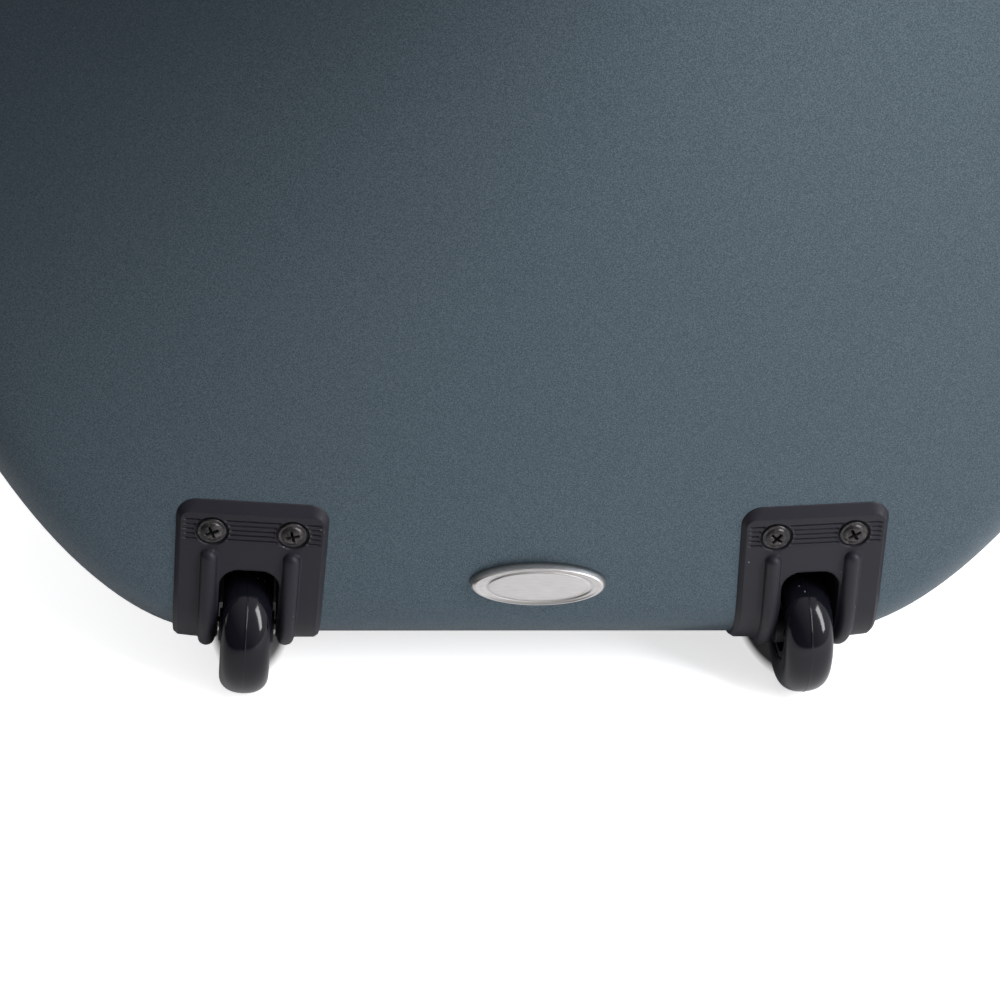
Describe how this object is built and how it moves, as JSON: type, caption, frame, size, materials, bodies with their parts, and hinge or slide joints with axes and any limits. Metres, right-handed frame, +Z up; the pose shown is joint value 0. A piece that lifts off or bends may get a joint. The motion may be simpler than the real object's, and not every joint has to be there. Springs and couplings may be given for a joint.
{
  "type": "cello hard case",
  "caption": "Upright hard case for a cello: a hinged lid on a deep back shell, with latches, folding handles, strap rings, padded supports inside and wheels in moulded corner housings",
  "frame": {"origin": "the middle of the bounding box, on the floor that the feet and wheels stand on", "axes": "+Z up towards the head of the case; +Y towards the lid; +X to the hinged side, which is on the right when the back with the wheels is seen"},
  "size_m": [0.5386, 0.3168, 1.342],
  "materials": {
    "shell_paint": "moulded shell, satin metallic teal-grey paint with fine sparkle",
    "moulded_plastic": "black injection-moulded plastic, fine matt texture",
    "rim_plastic": "black moulded plastic, satin",
    "wheel_urethane": "glossy black urethane with a mould seam",
    "rubber": "matt black rubber",
    "plush": "dark grey velvet over foam",
    "cushion_plush": "dark grey velvet over firm foam",
    "plated_steel": "nickel-plated pressed steel",
    "black_steel": "black-coated steel"
  },
  "bodies": {
    "back": {"back_shell": "shell_paint", "wheel_housing_left": "moulded_plastic", "wheel_housing_right": "moulded_plastic", "back_rim": "rim_plastic", "side_handle_base": "rim_plastic", "neck_handle_base": "rim_plastic", "foot_left": "rubber", "foot_right": "rubber", "back_lining": "plush", "endpin_block": "cushion_plush", "lower_pad_left": "cushion_plush", "lower_pad_right": "cushion_plush", "upper_pad_left": "cushion_plush", "upper_pad_right": "cushion_plush", "neck_cradle": "cushion_plush", "wheel_axle_left": "plated_steel", "wheel_axle_right": "plated_steel", "oval_plate": "plated_steel", "hinge_lower_back_leaf": "plated_steel", "hinge_lower_pin": "plated_steel", "hinge_middle_back_leaf": "plated_steel", "hinge_middle_pin": "plated_steel", "hinge_upper_back_leaf": "plated_steel", "hinge_upper_pin": "plated_steel", "latch_lower_base": "plated_steel", "latch_middle_base": "plated_steel", "latch_upper_base": "plated_steel", "strap_anchor_upper_left": "black_steel", "strap_anchor_upper_right": "black_steel", "strap_anchor_lower_left": "black_steel", "strap_anchor_lower_right": "black_steel"},
    "lid": {"lid_shell": "shell_paint", "lid_rim": "rim_plastic", "rim_seal": "rubber", "lid_lining": "plush", "bow_rest": "cushion_plush", "hinge_lower_lid_leaf": "plated_steel", "hinge_middle_lid_leaf": "plated_steel", "hinge_upper_lid_leaf": "plated_steel", "latch_lower_keeper": "plated_steel", "latch_middle_keeper": "plated_steel", "latch_upper_keeper": "plated_steel"},
    "wheel_left": {"wheel_tyre_left": "wheel_urethane", "wheel_hub_left": "moulded_plastic"},
    "wheel_right": {"wheel_tyre_right": "wheel_urethane", "wheel_hub_right": "moulded_plastic"},
    "lever_lower": {"latch_lower_lever": "plated_steel"},
    "bail_lower": {"latch_lower_bail": "plated_steel"},
    "lever_middle": {"latch_middle_lever": "plated_steel"},
    "bail_middle": {"latch_middle_bail": "plated_steel"},
    "lever_upper": {"latch_upper_lever": "plated_steel"},
    "bail_upper": {"latch_upper_bail": "plated_steel"},
    "side_grip": {"side_handle_grip": "rubber"},
    "neck_grip": {"neck_handle_grip": "rubber"},
    "ring_upper_left": {"strap_ring_upper_left": "plated_steel"},
    "ring_upper_right": {"strap_ring_upper_right": "plated_steel"},
    "ring_lower_left": {"strap_ring_lower_left": "plated_steel"},
    "ring_lower_right": {"strap_ring_lower_right": "plated_steel"},
    "spinner_left": {"bow_spinner_left": "black_steel"},
    "spinner_right": {"bow_spinner_right": "black_steel"}
  },
  "joints": [
    {"name": "lid_swing", "type": "hinge", "parent": "back", "child": "lid", "pos_m": [0.24943, 0.03259, 0.57035], "axis": [0.1046, 0, -0.9945], "range_deg": [0, 110]},
    {"name": "wheel_left_roll", "type": "hinge", "parent": "back", "child": "wheel_left", "pos_m": [-0.10777, -0.12891, 0.027], "axis": [0.9978, 0, -0.0663], "continuous": true},
    {"name": "wheel_right_roll", "type": "hinge", "parent": "back", "child": "wheel_right", "pos_m": [0.11623, -0.12891, 0.027], "axis": [0.9978, 0, 0.0663], "continuous": true},
    {"name": "lever_lower_lift", "type": "hinge", "parent": "back", "child": "lever_lower", "pos_m": [-0.26383, 0.00759, 0.27604], "axis": [0.0793, 0, -0.9968], "range_deg": [0, 95]},
    {"name": "bail_lower_turn", "type": "hinge", "parent": "lever_lower", "child": "bail_lower", "pos_m": [-0.25984, -0.00541, 0.27636], "axis": [0.0793, 0, -0.9968], "range_deg": [-110, 0]},
    {"name": "lever_middle_lift", "type": "hinge", "parent": "back", "child": "lever_middle", "pos_m": [-0.25419, 0.00759, 0.47823], "axis": [-0.1046, 0, -0.9945], "range_deg": [0, 95]},
    {"name": "bail_middle_turn", "type": "hinge", "parent": "lever_middle", "child": "bail_middle", "pos_m": [-0.25021, -0.00541, 0.47781], "axis": [-0.1046, 0, -0.9945], "range_deg": [-110, 0]},
    {"name": "lever_upper_lift", "type": "hinge", "parent": "back", "child": "lever_upper", "pos_m": [-0.23252, 0.00759, 0.68427], "axis": [-0.1046, 0, -0.9945], "range_deg": [0, 95]},
    {"name": "bail_upper_turn", "type": "hinge", "parent": "lever_upper", "child": "bail_upper", "pos_m": [-0.22854, -0.00541, 0.68385], "axis": [-0.1046, 0, -0.9945], "range_deg": [-110, 0]},
    {"name": "side_grip_fold", "type": "hinge", "parent": "back", "child": "side_grip", "pos_m": [-0.242, -0.05941, 0.57595], "axis": [-0.1046, 0, -0.9945], "range_deg": [0, 90]},
    {"name": "neck_grip_fold", "type": "hinge", "parent": "back", "child": "neck_grip", "pos_m": [0.00422, -0.11872, 1.10799], "axis": [-1, 0.001, 0], "range_deg": [0, 90]},
    {"name": "ring_upper_left_swing", "type": "hinge", "parent": "back", "child": "ring_upper_left", "pos_m": [-0.05842, -0.12915, 0.92065], "axis": [-0.9955, 0.0951, 0], "range_deg": [0, 150]},
    {"name": "ring_upper_right_swing", "type": "hinge", "parent": "back", "child": "ring_upper_right", "pos_m": [0.06688, -0.1291, 0.92069], "axis": [-0.9954, -0.0959, 0], "range_deg": [0, 150]},
    {"name": "ring_lower_left_swing", "type": "hinge", "parent": "back", "child": "ring_lower_left", "pos_m": [-0.14632, -0.15204, 0.38705], "axis": [-0.9968, 0.0803, 0], "range_deg": [0, 150]},
    {"name": "ring_lower_right_swing", "type": "hinge", "parent": "back", "child": "ring_lower_right", "pos_m": [0.15476, -0.15216, 0.38707], "axis": [-0.9969, -0.0782, 0], "range_deg": [0, 150]},
    {"name": "spinner_left_turn", "type": "hinge", "parent": "lid", "child": "spinner_left", "pos_m": [-0.01677, 0.11859, 0.70196], "axis": [0, 1, 0], "range_deg": [0, 90]},
    {"name": "spinner_right_turn", "type": "hinge", "parent": "lid", "child": "spinner_right", "pos_m": [0.02523, 0.11859, 0.70196], "axis": [0, -1, 0], "range_deg": [0, 90]}
  ],
  "couplings": [
    {"joint": "bail_lower_turn", "follows": "lever_lower_lift", "ratio": -1.15},
    {"joint": "bail_middle_turn", "follows": "lever_middle_lift", "ratio": -1.15},
    {"joint": "bail_upper_turn", "follows": "lever_upper_lift", "ratio": -1.15}
  ]
}
